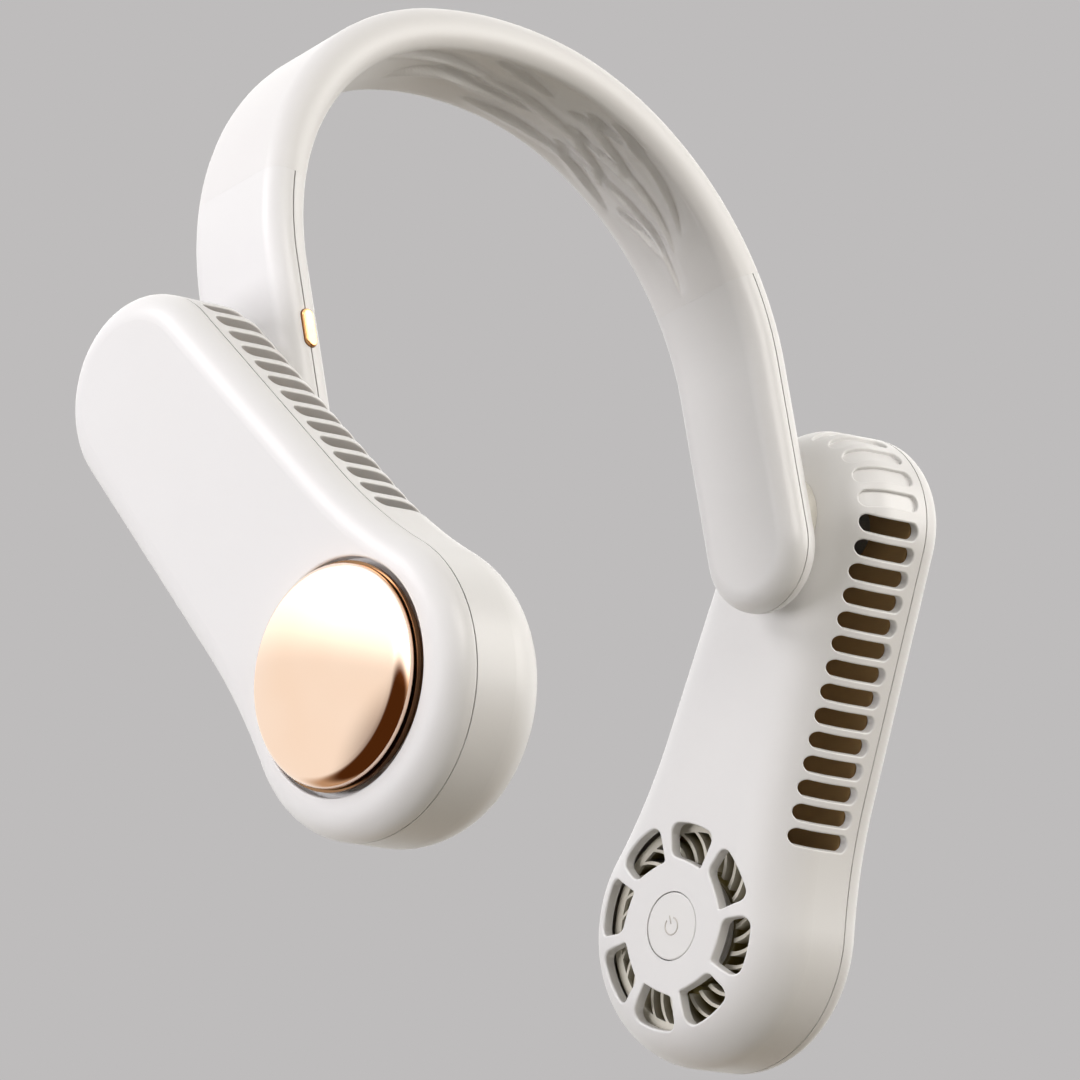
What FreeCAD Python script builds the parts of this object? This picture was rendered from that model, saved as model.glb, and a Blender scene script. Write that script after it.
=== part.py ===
import FreeCAD, Part
import math
import os

# Electric neck fan: a neck band of two rigid arms and a soft crown sleeve, with a fan pod that
# swivels on the tongue of each arm. Millimetres. X runs from the left pod to the right pod, the
# outlet slots face -Y, and +Z runs to the crown. The origin is on the band's inner face, at the
# middle of the crown, where the band rests on the neck.

V = FreeCAD.Vector
overrun = 1.0                     # how far a cutting shape runs past what it cuts

# Neck band
neck_half_width = 57.4            # mid-plane to the inner face of an arm
band_thickness = 8.9
band_width = 24.8
band_edge_radius = 4.1
limb_length = 27.3                # pivot axis up to the start of the shoulder bend
shoulder_radius = 57.2            # of the band's middle line
shoulder_angle = 79.7             # degrees turned before the flatter crown
sleeve_angle = 18.0               # degrees up the shoulder where an arm meets the sleeve
sleeve_gap = 0.12                 # between an arm's end and the sleeve
tongue_reach = 7.4                # pivot axis down to the centre of the tongue's round end
arm_wall = 1.8
parting_gap = 0.3                 # shadow line between two shells
slip_gap = 0.05                   # between fixed pieces that fit together

# Spring strip and cable along the band's middle line
spring_thickness = 0.6
spring_width = 11.0
spring_tail = 9.0                 # length of strip inside each arm
cable_thickness = 0.3
cable_width = 9.0
cable_tail = 13.0
cable_gap = 0.4                   # between strip and cable
channel_gap = 0.3                 # around strip and cable in the sleeve
end_wall = 2.0                    # of an arm, where it meets the sleeve

# Arm screws, placed from the pivot axis
arm_screw_radius = 0.9
arm_screw_head_radius = 1.8
arm_screw_head_height = 1.1
arm_screw_bite = 3.0              # length of thread in the post
arm_post_radius = 2.4
arm_screw_side = 4.0              # upper screw, off the middle towards +Y
arm_screw_rise = 12.5             # upper screw, above the pivot
arm_screw_drop = 13.5             # lower screw, below the pivot

# Pivot of a pod
pin_radius = 4.5
pin_bore_radius = 2.8             # the leads pass through it
pin_flange_radius = 8.0
pin_flange_thickness = 1.5
pin_end = 1.0                     # pin past its clip
bush_flange_radius = 9.0
bush_flange_thickness = 3.2
bush_radius = 6.2
bush_length = 4.6
running_gap = 0.06                # radial, pin in bush
face_gap = 0.12                   # between faces that turn on each other
washer_radius = 8.0
washer_thickness = 1.0
clip_radius = 6.6
clip_thickness = 1.0
clip_groove = 0.7                 # depth of the clip's groove in the pin
clip_mouth = 4.6                  # width of the clip's open side

# Pod shells
fan_offset = 82.0                 # pivot axis to fan axis
pivot_end_radius = 18.7
impeller_radius = 20.6
volute_gap = 4.6                  # around the impeller
flare_share = 0.534               # of the lean of a line that would touch both ends
waist_radius = 108.0              # hollow curve from the straight side to the fan end
inner_depth = 20.3                # inner shell, parting plane to inner face
outer_depth = 6.0                 # outer shell, parting plane to outer face
inner_edge_radius = 11.4
outer_edge_radius = 5.4
wall = 1.8
face_wall = 2.4                   # inner face, around the intake holes
lip_thickness = 1.0
lip_root = 1.6
left_rest_angle = 31.2            # degrees the left pod is swung towards -Y
right_rest_angle = -34.8          # the right pod is swung towards +Y

# Outlet slots
slot_count = 14
slot_run_share = 0.8093           # row of slots, of the distance between the axes
slot_width = 3.3
slot_corner_radius = 1.6
slot_start = 2.2                  # from the parting plane
slot_end = 15.8
slot_first_rise = 4.2             # first slot, above the pivot axis
slot_reach = 4.0                  # cut past the wall, through its rounded edge
blind_count = 5
blind_depth = 0.8
blind_ring_share = 0.885          # pitch circle of the blind slots, of the pivot end's radius
slot_rim_radius = 0.3             # rounded outer edge of a slot
rim_spot_shares = (0.2, 0.5, 0.8) # along an edge, where it is tested

# Intake ring
petal_count = 8
petal_outer_share = 0.981         # of the impeller's radius
petal_heel_share = 0.67
petal_tip_share = 0.631
petal_corner_radius = 2.0
petal_tip_corner = 0.5
petal_rim_radius = 0.4
petal_turn = -4.5                 # degrees, pivot axis to the middle of the first petal
petal_lead_angle = -18.0          # degrees from the petal's middle
petal_trail_angle = 17.5
petal_heel_angle = -17.5
petal_tip_angle = 19.0

# Dome and its seat
dome_shift = 1.6                  # fan axis to dome axis
recess_margin = 6.2               # from the outline of the fan end
recess_gap = 1.3                  # around the dome
recess_depth = 2.6
recess_edge_radius = 0.5
dome_side = 2.3                   # straight side of the dome
dome_rise = 3.4                   # crown above the straight side
dome_edge_radius = 2.8
dome_lift = 0.4                   # seat flange to dome
seat_flange_margin = 0.5          # beyond the dome
seat_flange_thickness = 0.8
seat_neck_inset = 1.2
seat_flange_height = 2.2          # flange underside above the recess floor
stem_radius = 3.0
dome_stem_length = 1.2

# Duct plate, boards, battery
plate_top = 1.0                   # below the parting plane
plate_thickness = 1.4
plate_gap = 0.25                  # around the plate
plate_boss_radius = 2.6
plate_screw_radius = 0.9
plate_screw_head_radius = 1.8
plate_screw_head_height = 1.0
plate_screw_bite = 5.0
top_boss_side = 7.0               # bosses at the pivot end, from the pivot axis
top_boss_rise = 11.0
waist_boss_side = 17.0            # bosses at the waist
waist_boss_gap = 2.3              # to the impeller
lead_hole_radius = 6.0            # in the plate, for the leads
duct_wall_thickness = 1.4
duct_wall_side = 4.0
duct_wall_top = 13.0              # below the pivot axis
duct_wall_end_gap = 3.4           # lower end to the impeller
duct_wall_gap = 0.3
board_radius = 15.5
board_thickness = 1.0
board_lift = 0.5
board_hole_radius = 4.4
board_post_radius = 1.2
board_post_ring = 12.5
board_post_count = 3
chip_side = 5.0
chip_height = 0.7
battery_width = 24.0
battery_thickness = 4.8
battery_edge_radius = 1.4
battery_top = 12.0                # below the pivot axis
battery_rise = 30.0               # lower end, above the fan axis

# Motor and impeller
shaft_radius = 1.0
shaft_gap = 0.03                  # radial, shaft in bearing
bearing_radius = 2.9
motor_tube_radius = 3.9
stator_radius = 7.6
stator_core_radius = 5.0
stator_teeth = 9
stator_tooth_width = 1.5
stator_shoe = 0.9
stator_length = 5.5
cup_radius = 9.4
cup_wall = 0.9
cup_length = 8.0
cup_clearance = 1.6               # cup's open end to the plate
hub_wall = 1.4
hub_cap = 1.2
blade_inner_radius = 12.8
blade_count = 30
blade_thickness = 0.9
blade_sweep = 26.0                # degrees from a blade's root to its tip
blade_middle_share = 0.33         # of the sweep, half way out
impeller_front_gap = 2.4          # to the inner face
rim_ring_width = 1.8
rim_ring_thickness = 0.8
disc_thickness = 1.1
disc_gap = 4.0                    # impeller disc to the plate

# Power button
button_radius = 6.8
button_gap = 0.2
button_skirt_radius = 8.0
button_skirt_thickness = 0.6
button_edge_radius = 0.3
button_travel = 0.4
switch_side = 4.0
switch_height = 1.4
switch_plunger_radius = 1.0
switch_plunger_height = 0.6
button_board_radius = 10.8
button_board_thickness = 0.8
button_post_radius = 0.9
button_post_ring = 9.6
button_post_count = 3

# Mode button on the left arm
mode_length = 7.4
mode_width = 2.6
mode_rise = 13.4                  # above the pivot axis
mode_proud = 0.6
mode_depth = 3.0
mode_gap = 0.15
mode_flange = 0.7
mode_flange_thickness = 0.6
mode_travel = 0.5
mode_edge_radius = 0.35
mode_board_thickness = 1.0
mode_board_width = 8.0
mode_board_length = 13.0
mode_switch_length = 4.6
mode_switch_depth = 2.8
mode_switch_height = 1.5

# Charging socket in the right pod
socket_length = 8.9
socket_height = 3.2
socket_depth = 7.3
socket_shell = 0.3
socket_tongue = 0.7
socket_drop = 30.0                # below the pivot axis
socket_hole_gap = 0.15
socket_inset = 0.5                # mouth below the pod's side

# Worked out from the sizes above
half_band = band_thickness / 2
limb_x = neck_half_width + half_band
shoulder_turn = math.radians(shoulder_angle)
crown_radius = (limb_x - shoulder_radius * (1 - math.cos(shoulder_turn))) / math.cos(shoulder_turn)
crown_height = (limb_length + shoulder_radius * math.sin(shoulder_turn)
                + crown_radius * (1 - math.sin(shoulder_turn)))
pivot_z = half_band - crown_height
shoulder_x = limb_x - shoulder_radius
shoulder_z = pivot_z + limb_length
crown_z = half_band - crown_radius
tongue_z = pivot_z - tongue_reach
fan_end_radius = impeller_radius + volute_gap + wall
flare_turn = flare_share * math.asin((fan_end_radius - pivot_end_radius) / fan_offset)
slot_pitch = slot_run_share * fan_offset / slot_count
petal_outer_radius = petal_outer_share * impeller_radius
petal_heel_radius = petal_heel_share * impeller_radius
petal_tip_radius = petal_tip_share * impeller_radius
dome_offset = fan_offset - dome_shift
recess_radius = fan_end_radius - recess_margin
dome_radius = recess_radius - recess_gap
seat_flange_radius = dome_radius + seat_flange_margin
seat_neck_radius = dome_radius - seat_neck_inset
duct_wall_bottom = fan_offset - impeller_radius - duct_wall_end_gap
waist_boss_reach = impeller_radius + waist_boss_gap + plate_boss_radius
waist_boss_rise = math.sqrt(waist_boss_reach ** 2 - waist_boss_side ** 2)
battery_length = fan_offset - battery_rise - battery_top
pod_x = limb_x + half_band + bush_flange_thickness + face_gap + inner_depth
plate_low = -plate_top - plate_thickness
duct_floor = face_wall - inner_depth
recess_floor = outer_depth - recess_depth


def sector_point(centre_x, centre_z, radius, degrees):
    turn = math.radians(degrees)
    return V(centre_x + radius * math.cos(turn), 0, centre_z + radius * math.sin(turn))


def bend(centre_x, centre_z, radius, start, stop):
    middle = (start + stop) / 2
    points = [sector_point(centre_x, centre_z, radius, a) for a in (start, middle, stop)]
    return Part.Arc(*points).toShape()


def closed_prism(edges, direction):
    wire = Part.Wire(Part.__sortEdges__(edges))
    return Part.Face(wire).extrude(direction)


def joined(points):
    pairs = zip(points, points[1:])
    return [Part.LineSegment(a, b).toShape() for a, b in pairs]


def across_band(edges, width):
    solid = closed_prism(edges, V(0, width, 0))
    solid.translate(V(0, -width / 2, 0))
    return solid


def arm_block(low, high, width, bottom, angle):
    # A length of the right arm between two offsets from the band's middle line.
    r_low = shoulder_radius + low
    r_high = shoulder_radius + high
    inner = bend(shoulder_x, shoulder_z, r_low, 0, angle)
    outer = bend(shoulder_x, shoulder_z, r_high, 0, angle)
    end = joined([sector_point(shoulder_x, shoulder_z, r_low, angle),
                  sector_point(shoulder_x, shoulder_z, r_high, angle)])
    limb = joined([V(limb_x + high, 0, shoulder_z), V(limb_x + high, 0, bottom),
                   V(limb_x + low, 0, bottom), V(limb_x + low, 0, shoulder_z)])
    return across_band([inner, outer] + end + limb, width)


def shoulder_block(low, high, width, start, stop):
    # A short curved block on the right shoulder.
    r_low = shoulder_radius + low
    r_high = shoulder_radius + high
    edges = [bend(shoulder_x, shoulder_z, r, start, stop) for r in (r_low, r_high)]
    for a in (start, stop):
        edges += joined([sector_point(shoulder_x, shoulder_z, r, a) for r in (r_low, r_high)])
    return across_band(edges, width)


def arch_block(low, high, width, angle):
    # The whole arch from one shoulder to the other.
    edges = []
    for offset in (low, high):
        r = shoulder_radius + offset
        edges.append(bend(shoulder_x, shoulder_z, r, angle, shoulder_angle))
        edges.append(bend(0, crown_z, crown_radius + offset, shoulder_angle, 180 - shoulder_angle))
        edges.append(bend(-shoulder_x, shoulder_z, r, 180 - shoulder_angle, 180 - angle))
    for side, a in ((1, angle), (-1, 180 - angle)):
        ends = [sector_point(side * shoulder_x, shoulder_z, shoulder_radius + d, a) for d in (low, high)]
        edges += joined(ends)
    return across_band(edges, width)


def shoulder_degrees(length):
    return math.degrees(length / shoulder_radius)


def tongue_prism(radius):
    # The arm's outline seen from the side: straight, with a round lower end.
    top = 2 * half_band
    ends = [V(0, -radius, tongue_z), V(0, 0, tongue_z - radius), V(0, radius, tongue_z)]
    sides = joined([ends[2], V(0, radius, top), V(0, -radius, top), ends[0]])
    return closed_prism([Part.Arc(*ends).toShape()] + sides, V(limb_x + band_thickness, 0, 0))


def runs_across(edge):
    box = edge.BoundBox
    return max(box.XLength, box.ZLength) < slip_gap


def face_offset(edge):
    point = edge.valueAt((edge.FirstParameter + edge.LastParameter) / 2)
    if point.z < shoulder_z:
        return point.x - limb_x
    return math.hypot(point.x - shoulder_x, point.z - shoulder_z) - shoulder_radius


def rounded_arm(inset, angle):
    depth = half_band - inset
    width = band_width - 2 * inset
    block = arm_block(-depth, depth, width, tongue_z - band_width, angle)
    solid = block.common(tongue_prism(width / 2))
    edges = [e for e in solid.Edges
             if abs(abs(face_offset(e)) - depth) < slip_gap and not runs_across(e)]
    return solid.makeFillet(band_edge_radius - inset, edges)


def rod(radius, start, stop, y=0, z=0):
    return Part.makeCylinder(radius, stop - start, V(start, y, z), V(1, 0, 0))


def tube(outer, inner, start, stop, y=0, z=0):
    return rod(outer, start, stop, y, z).cut(rod(inner, start - overrun, stop + overrun, y, z))


def arm_screw_places():
    return [(arm_screw_side, pivot_z + arm_screw_rise), (0, pivot_z - arm_screw_drop)]


def arm_halves():
    # Both shells of the right arm, hollow, with screw posts and the seat of the spring strip.
    solid = rounded_arm(0, sleeve_angle)
    cavity_angle = sleeve_angle - shoulder_degrees(end_wall)
    solid = solid.cut(rounded_arm(arm_wall, cavity_angle))
    reach = band_thickness
    bottom = tongue_z - band_width
    wide = band_width + 2 * overrun
    past = sleeve_angle + shoulder_degrees(overrun)
    inner = solid.cut(arm_block(0, reach, wide, bottom, past))
    outer = solid.cut(arm_block(-reach, parting_gap, wide, bottom, past))
    floor = limb_x - half_band + arm_wall
    roof = limb_x + half_band - arm_wall
    tail = sleeve_angle - shoulder_degrees(spring_tail)
    seat_low = floor - limb_x - arm_wall / 2
    strip_seat = -spring_thickness / 2 - slip_gap
    inner = inner.fuse(shoulder_block(seat_low, strip_seat, spring_width, tail, cavity_angle))
    cable_top = spring_thickness / 2 + cable_gap + cable_thickness
    rib_high = roof - limb_x + arm_wall / 2
    outer = outer.fuse(shoulder_block(cable_top + slip_gap, rib_high, spring_width, tail, cavity_angle))
    for y, z in arm_screw_places():
        inner = inner.fuse(rod(arm_post_radius, floor - arm_wall / 2, limb_x + parting_gap, y, z))
        outer = outer.fuse(rod(arm_post_radius, limb_x + parting_gap, roof + arm_wall / 2, y, z))
    channel = sleeve_channel(cavity_angle - shoulder_degrees(overrun))
    return inner.cut(channel), outer.cut(channel)


def cut_arm_holes(inner, outer):
    face = limb_x + half_band
    head = face - arm_screw_head_height
    for y, z in arm_screw_places():
        outer = outer.cut(rod(arm_screw_radius + slip_gap, limb_x, face + overrun, y, z))
        outer = outer.cut(rod(arm_screw_head_radius + slip_gap, head, face + overrun, y, z))
        bite = limb_x + parting_gap - arm_screw_bite - slip_gap
        inner = inner.cut(rod(arm_screw_radius + slip_gap, bite, limb_x + overrun, y, z))
    outer = outer.cut(rod(pin_radius + slip_gap, limb_x, face + overrun, 0, pivot_z))
    return inner, outer


def arm_screws():
    face = limb_x + half_band
    head = face - arm_screw_head_height
    tip = limb_x + parting_gap - arm_screw_bite
    screws = []
    for y, z in arm_screw_places():
        shank = rod(arm_screw_radius, tip, head, y, z)
        screws.append(shank.fuse(rod(arm_screw_head_radius, head, face, y, z)))
    return Part.makeCompound(screws)


def sleeve_channel(angle):
    low = -spring_thickness / 2 - channel_gap
    high = spring_thickness / 2 + cable_gap + cable_thickness + channel_gap
    return arch_block(low, high, spring_width + 2 * channel_gap, angle)


def band_sleeve():
    start = sleeve_angle + shoulder_degrees(sleeve_gap)
    solid = arch_block(-half_band, half_band, band_width, start)
    edges = [e for e in solid.Edges if e.BoundBox.YLength < slip_gap and e.BoundBox.XLength > band_width / 2]
    solid = solid.makeFillet(band_edge_radius, edges)
    return solid.cut(sleeve_channel(sleeve_angle - shoulder_degrees(overrun)))


def band_spring():
    tail = sleeve_angle - shoulder_degrees(spring_tail)
    return arch_block(-spring_thickness / 2, spring_thickness / 2, spring_width, tail)


def band_ribbon_cable():
    low = spring_thickness / 2 + cable_gap
    tail = sleeve_angle - shoulder_degrees(cable_tail)
    return arch_block(low, low + cable_thickness, cable_width, tail)


def clip_start():
    return (half_band + bush_flange_thickness + face_gap + bush_length
            + 2 * face_gap + washer_thickness)


def pivot_pin():
    # Hollow pin: its flange lies inside the arm, its grooved end inside the pod.
    roof = limb_x + half_band - arm_wall
    groove = limb_x + clip_start()
    end = groove + clip_thickness + 2 * slip_gap + pin_end
    pin = rod(pin_flange_radius, roof - pin_flange_thickness, roof, 0, pivot_z)
    pin = pin.fuse(rod(pin_radius, roof, end, 0, pivot_z))
    pin = pin.cut(rod(pin_bore_radius, roof - overrun - pin_flange_thickness, end + overrun, 0, pivot_z))
    groove_end = groove + clip_thickness + 2 * slip_gap
    return pin.cut(tube(clip_radius, pin_radius - clip_groove, groove, groove_end, 0, pivot_z))


def pivot_clip():
    start = limb_x + clip_start() + slip_gap
    ring = tube(clip_radius, pin_radius - clip_groove + slip_gap, start, start + clip_thickness, 0, pivot_z)
    mouth = Part.makeBox(clip_thickness + 2 * overrun, clip_mouth, clip_radius + overrun)
    mouth.translate(V(start - overrun, -clip_mouth / 2, pivot_z))
    return ring.cut(mouth)


def spring_washer():
    start = limb_x + half_band + bush_flange_thickness + face_gap + bush_length + face_gap
    return tube(washer_radius, pin_radius + running_gap, start, start + washer_thickness, 0, pivot_z)


# Pods are drawn at the right hand, hanging straight down: X from the parting plane outwards, the
# pivot axis at Y = Z = 0 and the fan axis at Z = -fan_offset.


def outline_points(inset):
    along = (math.cos(flare_turn), math.sin(flare_turn))
    across = (-math.sin(flare_turn), math.cos(flare_turn))
    top = pivot_end_radius - inset
    fan = fan_end_radius - inset
    waist = waist_radius + inset
    from_fan = (across[0] * (top + waist) - fan_offset, across[1] * (top + waist))
    lean = from_fan[0] * along[0] + from_fan[1] * along[1]
    reach = from_fan[0] ** 2 + from_fan[1] ** 2 - (fan + waist) ** 2
    run = -lean - math.sqrt(lean * lean - reach)
    centre = (across[0] * (top + waist) + along[0] * run, across[1] * (top + waist) + along[1] * run)
    to_fan = (fan_offset - centre[0], -centre[1])
    share = waist / (fan + waist)
    start = (across[0] * top, across[1] * top)
    turn_in = (centre[0] - across[0] * waist, centre[1] - across[1] * waist)
    turn_out = (centre[0] + to_fan[0] * share, centre[1] + to_fan[1] * share)
    chord = ((turn_in[0] + turn_out[0]) / 2 - centre[0], (turn_in[1] + turn_out[1]) / 2 - centre[1])
    stretch = waist / math.hypot(*chord)
    bow = (centre[0] + chord[0] * stretch, centre[1] + chord[1] * stretch)
    return start, turn_in, bow, turn_out


def pod_prism(inset, start, stop):
    line_start, turn_in, bow, turn_out = outline_points(inset)

    def at(point, side):
        return V(start, side * point[1], -point[0])

    top = V(start, 0, pivot_end_radius - inset)
    bottom = V(start, 0, -fan_offset - fan_end_radius + inset)
    edges = [Part.Arc(at(line_start, -1), top, at(line_start, 1)).toShape(),
             Part.Arc(at(turn_out, -1), bottom, at(turn_out, 1)).toShape()]
    for side in (-1, 1):
        edges += joined([at(line_start, side), at(turn_in, side)])
        edges.append(Part.Arc(at(turn_in, side), at(bow, side), at(turn_out, side)).toShape())
    return closed_prism(edges, V(stop - start, 0, 0))


def flat_edges(solid, at_x):
    # Edges that lie in one plane across X.
    return [e for e in solid.Edges
            if abs(e.BoundBox.XMin - at_x) < slip_gap and abs(e.BoundBox.XMax - at_x) < slip_gap]


def rounded_pod(inset, start, stop, radius, at_x):
    solid = pod_prism(inset, start, stop)
    return solid.makeFillet(radius, flat_edges(solid, at_x))


def fan_rod(radius, start, stop):
    return rod(radius, start, stop, 0, -fan_offset)


def fan_tube(outer, inner, start, stop):
    return tube(outer, inner, start, stop, 0, -fan_offset)


def dome_rod(radius, start, stop):
    return rod(radius, start, stop, 0, -dome_offset)


def pod_outer_shell():
    shell = rounded_pod(0, parting_gap, outer_depth, outer_edge_radius, outer_depth)
    roof = outer_depth - wall
    shell = shell.cut(rounded_pod(wall, parting_gap - overrun, roof, outer_edge_radius - wall, roof))
    lip_inset = wall + slip_gap
    lip = pod_prism(lip_inset, -plate_top, parting_gap + lip_root)
    root = pod_prism(wall / 2, parting_gap, parting_gap + lip_root)
    inside = pod_prism(lip_inset + lip_thickness, -plate_top - overrun, outer_depth)
    shell = shell.fuse(lip.fuse(root).cut(inside))
    shell = shell.fuse(dome_rod(recess_radius + wall, recess_floor - wall, outer_depth - wall / 2))
    shell = shell.cut(dome_rod(recess_radius, recess_floor, outer_depth + overrun))
    mouth = [e for e in flat_edges(shell, outer_depth)
             if abs(e.BoundBox.YLength - 2 * recess_radius) < slip_gap]
    shell = shell.makeFillet(recess_edge_radius, mouth)
    return shell.cut(dome_rod(stem_radius + slip_gap, recess_floor - wall - overrun, outer_depth))


def slot_cutter(reach_in):
    length = slot_end - slot_start
    box = Part.makeBox(length, fan_end_radius + overrun - reach_in, slot_width)
    box.translate(V(-slot_end, -fan_end_radius - overrun, -slot_width / 2))
    edges = [e for e in box.Edges if e.BoundBox.YLength > slot_width]
    return box.makeFillet(slot_corner_radius, edges)


def outlet_slots():
    # The slots of the upper end are blind: their floor follows the skin.
    blind_face = blind_depth - inner_depth
    blind_floor = rounded_pod(blind_depth, blind_face, overrun, inner_edge_radius - blind_depth, blind_face)
    cutters = []
    for i in range(slot_count):
        cutter = slot_cutter(pivot_end_radius - wall - slot_reach)
        cutter.translate(V(0, 0, slot_first_rise - i * slot_pitch))
        cutters.append(cutter)
    for i in range(1, blind_count + 1):
        cutter = slot_cutter(pivot_end_radius - wall - slot_reach)
        turn = math.degrees((slot_first_rise + i * slot_pitch) / (blind_ring_share * pivot_end_radius))
        cutter.rotate(V(0, 0, 0), V(1, 0, 0), -turn)
        cutters.append(cutter.cut(blind_floor))
    return cutters


def intake_point(radius, degrees):
    turn = math.radians(degrees)
    return V(-inner_depth - overrun, -radius * math.sin(turn), -fan_offset + radius * math.cos(turn))


def intake_petals():
    corners = [(petal_outer_radius, petal_lead_angle), (petal_outer_radius, petal_trail_angle),
               (petal_tip_radius, petal_tip_angle), (petal_heel_radius, petal_heel_angle)]
    lead, trail, tip, heel = [intake_point(*c) for c in corners]
    crest = intake_point(petal_outer_radius, (petal_lead_angle + petal_trail_angle) / 2)
    sole = intake_point(petal_tip_radius, (petal_heel_angle + petal_tip_angle) / 2)
    edges = [Part.Arc(lead, crest, trail).toShape(), Part.Arc(tip, sole, heel).toShape()]
    edges += joined([trail, tip]) + joined([heel, lead])
    petal = closed_prism(edges, V(inner_edge_radius, 0, 0))

    def upright(place):
        return [e for e in petal.Edges
                if e.BoundBox.XLength > face_wall and abs(e.CenterOfMass.y - place.y) < slip_gap
                and abs(e.CenterOfMass.z - place.z) < slip_gap]

    petal = petal.makeFillet(petal_corner_radius, upright(lead) + upright(trail) + upright(heel))
    petal = petal.makeFillet(petal_tip_corner, upright(tip))
    petals = []
    for i in range(petal_count):
        copy = petal.copy()
        copy.rotate(V(0, 0, -fan_offset), V(1, 0, 0), petal_turn + 360 / petal_count * i)
        petals.append(copy)
    return petals


def plate_boss_places():
    places = []
    for side in (-1, 1):
        places.append((side * top_boss_side, top_boss_rise))
        places.append((side * waist_boss_side, waist_boss_rise - fan_offset))
    return places


def lies_on(edge, shape):
    span = edge.LastParameter - edge.FirstParameter
    spots = [edge.valueAt(edge.FirstParameter + span * share) for share in rim_spot_shares]
    return all(shape.distToShape(Part.Vertex(spot))[0] < shaft_gap for spot in spots)


def rim_edges(shell, skin, hole):
    # The edges of one hole on the outside of the shell.
    box = hole.BoundBox
    near = [e for e in shell.Edges if box.isInside(e.CenterOfMass)]
    return [e for e in near if lies_on(e, skin) and lies_on(e, hole)]


def open_holes(shell, skin, holes, rim_radius):
    shell = shell.cut(holes)
    rims = []
    for hole in holes:
        rims += rim_edges(shell, skin, hole)
    return shell.makeFillet(rim_radius, rims)


def pod_inner_shell():
    block = rounded_pod(0, -inner_depth, 0, inner_edge_radius, -inner_depth)
    hollow = rounded_pod(wall, duct_floor, overrun, inner_edge_radius - wall, duct_floor)
    skin = Part.makeCompound(block.Faces)
    shell = block.cut(hollow)
    root = duct_floor - face_wall / 2
    core = rounded_pod(wall / 2, root, 0, inner_edge_radius - wall / 2, root)
    bosses = [rod(plate_boss_radius, root, plate_low, y, z).common(core) for y, z in plate_boss_places()]
    bosses.append(rod(bush_flange_radius, root, bush_length - inner_depth))
    shell = shell.multiFuse(bosses)
    shell = open_holes(shell, skin, outlet_slots(), slot_rim_radius)
    shell = open_holes(shell, skin, intake_petals(), petal_rim_radius)
    holes = [rod(bush_radius + slip_gap, -inner_depth - overrun, overrun)]
    bite = plate_low - plate_screw_bite - slip_gap
    holes += [rod(plate_screw_radius + slip_gap, bite, overrun, y, z) for y, z in plate_boss_places()]
    return shell.cut(holes)


def pivot_bush():
    bush = rod(bush_flange_radius, -inner_depth - bush_flange_thickness, -inner_depth)
    bush = bush.fuse(rod(bush_radius, -inner_depth, bush_length - inner_depth))
    return bush.cut(rod(pin_radius + running_gap, -inner_depth - bush_flange_thickness - overrun, 0))


def dome_seat():
    low = recess_floor + seat_flange_height
    high = low + seat_flange_thickness
    seat = dome_rod(seat_neck_radius, recess_floor, low)
    seat = seat.fuse(dome_rod(seat_flange_radius, low, high))
    seat = seat.fuse(dome_rod(stem_radius, recess_floor - wall, recess_floor))
    return seat.cut(dome_rod(stem_radius + slip_gap, high - dome_stem_length - slip_gap, high + overrun))


def dome_cap():
    # Turned from a profile: shallow crown, rounded edge, straight side, foot and stem.
    base = recess_floor + seat_flange_height + seat_flange_thickness
    side_low = base + dome_lift
    ball = (dome_radius ** 2 + dome_rise ** 2) / (2 * dome_rise)
    ball_x = side_low + dome_side + dome_rise - ball
    corner = dome_radius - dome_edge_radius
    corner_x = ball_x + math.sqrt((ball - dome_edge_radius) ** 2 - corner ** 2)
    lean = math.atan2(corner, corner_x - ball_x)

    def at(x, radius):
        return V(x, 0, radius - dome_offset)

    def on_arc(x, radius, size, turn):
        return at(x + size * math.cos(turn), radius + size * math.sin(turn))

    crown = [on_arc(ball_x, 0, ball, turn) for turn in (0, lean / 2, lean)]
    edge_turn = (lean + math.pi / 2) / 2
    edge = [crown[2], on_arc(corner_x, corner, dome_edge_radius, edge_turn), at(corner_x, dome_radius)]
    rest = [edge[2], at(side_low, dome_radius), at(side_low, seat_neck_radius), at(base, seat_neck_radius),
            at(base, stem_radius), at(base - dome_stem_length, stem_radius), at(base - dome_stem_length, 0),
            crown[0]]
    edges = [Part.Arc(*crown).toShape(), Part.Arc(*edge).toShape()] + joined(rest)
    face = Part.Face(Part.Wire(Part.__sortEdges__(edges)))
    return face.revolve(V(0, 0, -dome_offset), V(1, 0, 0), 360)


def duct_plate():
    # Carries the motor on a tube, the control board on posts, and a wall that guides the air.
    high = -plate_top
    plate = pod_prism(wall + plate_gap, plate_low, high)
    wall_height = plate_low - duct_floor - duct_wall_gap
    wall_length = duct_wall_bottom - duct_wall_top
    guide = Part.makeBox(wall_height, duct_wall_thickness, wall_length)
    guide.translate(V(plate_low - wall_height, duct_wall_side, -duct_wall_bottom))
    solids = [guide, fan_rod(motor_tube_radius, motor_low(), high)]
    for i in range(board_post_count):
        turn = math.radians(360 / board_post_count * i)
        y = board_post_ring * math.sin(turn)
        z = board_post_ring * math.cos(turn) - fan_offset
        solids.append(rod(board_post_radius, plate_low, high + board_lift, y, z))
    plate = plate.multiFuse(solids)
    holes = [rod(plate_screw_radius + slip_gap, plate_low - overrun, high + overrun, y, z)
             for y, z in plate_boss_places()]
    holes.append(rod(lead_hole_radius, plate_low - overrun, high + overrun))
    holes.append(fan_rod(bearing_radius + slip_gap, motor_low() - overrun, high + overrun))
    return plate.cut(holes)


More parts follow.
